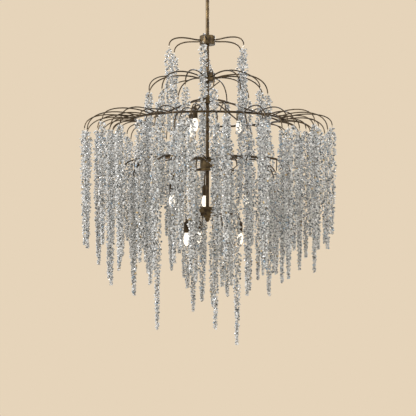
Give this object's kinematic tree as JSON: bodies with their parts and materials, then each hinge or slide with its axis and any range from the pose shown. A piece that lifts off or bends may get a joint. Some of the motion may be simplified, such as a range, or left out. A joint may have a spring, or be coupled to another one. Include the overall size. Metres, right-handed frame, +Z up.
{
  "type": "crystal chandelier",
  "caption": "Tiered hanging chandelier: bronze rods droop from hubs on a stem and carry hanging strands of small clear crystals round downward lamps.",
  "frame": {"origin": "centre of the ceiling plate's slot pattern, on its top face at the ceiling", "axes": "+Z up out of the ceiling along the stem, front towards -Y, +X to the right"},
  "size_m": [0.9459, 0.9417, 1.362],
  "materials": {
    "aged_bronze": "aged satin bronze",
    "zinc_steel": "zinc plated",
    "hook_wire": "bright wire",
    "crystal": "clear polished",
    "bulb_glass": "frosted",
    "nickel_cap": "nickel plated",
    "socket_shell": "aged satin bronze"
  },
  "bodies": {
    "mount": {"ceiling_bracket": "zinc_steel", "bracket_nipple": "zinc_steel"},
    "canopy": {"canopy": "aged_bronze", "canopy_collar": "aged_bronze"},
    "swivel": {"swivel_fork": "aged_bronze", "swivel_pin": "zinc_steel"},
    "fitting": {"arms_tier_1": "aged_bronze", "arms_tier_2": "aged_bronze", "arms_tier_4": "aged_bronze", "arms_tier_5": "aged_bronze", "column_tubes": "aged_bronze", "finial": "aged_bronze", "hinge_links": "hook_wire", "hub_1": "aged_bronze", "hub_2": "aged_bronze", "hub_3": "aged_bronze", "hub_4": "aged_bronze", "hub_5": "aged_bronze", "inner_twigs_tier_3": "aged_bronze", "lamp_cups": "aged_bronze", "lamp_rods_lower": "aged_bronze", "lamp_rods_middle": "aged_bronze", "lamp_rods_upper": "aged_bronze", "lamp_sockets": "socket_shell", "outer_twigs_tier_3": "aged_bronze", "ring_tier_3": "aged_bronze", "spokes_tier_3": "aged_bronze", "stem_tube": "aged_bronze", "strand_links": "hook_wire", "strands_tier_2": "crystal", "strands_tier_3": "crystal", "strands_tier_4": "crystal", "swivel_knuckle": "aged_bronze", "tie_rod": "zinc_steel", "twigs_tier_2": "aged_bronze", "twigs_tier_4": "aged_bronze"},
    "bulb_upper_a": {"bulb_cap_upper_a": "nickel_cap", "bulb_glass_upper_a": "bulb_glass"},
    "bulb_upper_b": {"bulb_cap_upper_b": "nickel_cap", "bulb_glass_upper_b": "bulb_glass"},
    "bulb_upper_c": {"bulb_cap_upper_c": "nickel_cap", "bulb_glass_upper_c": "bulb_glass"},
    "bulb_middle_a": {"bulb_cap_middle_a": "nickel_cap", "bulb_glass_middle_a": "bulb_glass"},
    "bulb_middle_b": {"bulb_cap_middle_b": "nickel_cap", "bulb_glass_middle_b": "bulb_glass"},
    "bulb_middle_c": {"bulb_cap_middle_c": "nickel_cap", "bulb_glass_middle_c": "bulb_glass"},
    "bulb_lower_a": {"bulb_cap_lower_a": "nickel_cap", "bulb_glass_lower_a": "bulb_glass"},
    "bulb_lower_b": {"bulb_cap_lower_b": "nickel_cap", "bulb_glass_lower_b": "bulb_glass"},
    "bulb_lower_c": {"bulb_cap_lower_c": "nickel_cap", "bulb_glass_lower_c": "bulb_glass"},
    "strand_a": {"strand_tier_1_a": "crystal"},
    "strand_b": {"strand_tier_1_b": "crystal"},
    "strand_c": {"strand_tier_1_c": "crystal"},
    "strand_d": {"strand_tier_1_d": "crystal"},
    "strand_e": {"strand_tier_1_e": "crystal"},
    "strand_f": {"strand_tier_1_f": "crystal"}
  },
  "joints": [
    {"name": "canopy_slide", "type": "slide", "parent": "mount", "child": "canopy", "axis": [0, 0, -1], "range_m": [0, 0.06]},
    {"name": "swivel_turn", "type": "hinge", "parent": "mount", "child": "swivel", "pos_m": [0, 0, -0.045], "axis": [0, 0, 1], "range_deg": [-20, 20]},
    {"name": "swivel_tilt", "type": "hinge", "parent": "swivel", "child": "fitting", "pos_m": [0, 0, -0.091], "axis": [1, 0, 0], "range_deg": [-6, 6]},
    {"name": "bulb_upper_a_out", "type": "slide", "parent": "fitting", "child": "bulb_upper_a", "axis": [0, 0, -1], "range_m": [0, 0.024]},
    {"name": "bulb_upper_b_out", "type": "slide", "parent": "fitting", "child": "bulb_upper_b", "axis": [0, 0, -1], "range_m": [0, 0.024]},
    {"name": "bulb_upper_c_out", "type": "slide", "parent": "fitting", "child": "bulb_upper_c", "axis": [0, 0, -1], "range_m": [0, 0.024]},
    {"name": "bulb_middle_a_out", "type": "slide", "parent": "fitting", "child": "bulb_middle_a", "axis": [0, 0, -1], "range_m": [0, 0.024]},
    {"name": "bulb_middle_b_out", "type": "slide", "parent": "fitting", "child": "bulb_middle_b", "axis": [0, 0, -1], "range_m": [0, 0.024]},
    {"name": "bulb_middle_c_out", "type": "slide", "parent": "fitting", "child": "bulb_middle_c", "axis": [0, 0, -1], "range_m": [0, 0.024]},
    {"name": "bulb_lower_a_out", "type": "slide", "parent": "fitting", "child": "bulb_lower_a", "axis": [0, 0, -1], "range_m": [0, 0.024]},
    {"name": "bulb_lower_b_out", "type": "slide", "parent": "fitting", "child": "bulb_lower_b", "axis": [0, 0, -1], "range_m": [0, 0.024]},
    {"name": "bulb_lower_c_out", "type": "slide", "parent": "fitting", "child": "bulb_lower_c", "axis": [0, 0, -1], "range_m": [0, 0.024]},
    {"name": "strand_a_swing", "type": "hinge", "parent": "fitting", "child": "strand_a", "pos_m": [-0.01547, -0.14719, -0.319], "axis": [0.9945, -0.1045, 0], "range_deg": [-4, 5]},
    {"name": "strand_b_swing", "type": "hinge", "parent": "fitting", "child": "strand_b", "pos_m": [0.13068, -0.06948, -0.319], "axis": [0.4695, 0.8829, 0], "range_deg": [-4, 5]},
    {"name": "strand_c_swing", "type": "hinge", "parent": "fitting", "child": "strand_c", "pos_m": [0.12686, 0.07623, -0.319], "axis": [-0.515, 0.8572, 0], "range_deg": [-4, 5]},
    {"name": "strand_d_swing", "type": "hinge", "parent": "fitting", "child": "strand_d", "pos_m": [0, 0.148, -0.319], "axis": [-1, 0, 0], "range_deg": [-4, 5]},
    {"name": "strand_e_swing", "type": "hinge", "parent": "fitting", "child": "strand_e", "pos_m": [-0.12551, 0.07843, -0.319], "axis": [-0.5299, -0.848, 0], "range_deg": [-4, 5]},
    {"name": "strand_f_swing", "type": "hinge", "parent": "fitting", "child": "strand_f", "pos_m": [-0.13908, -0.05062, -0.319], "axis": [0.342, -0.9397, 0], "range_deg": [-4, 5]}
  ]
}
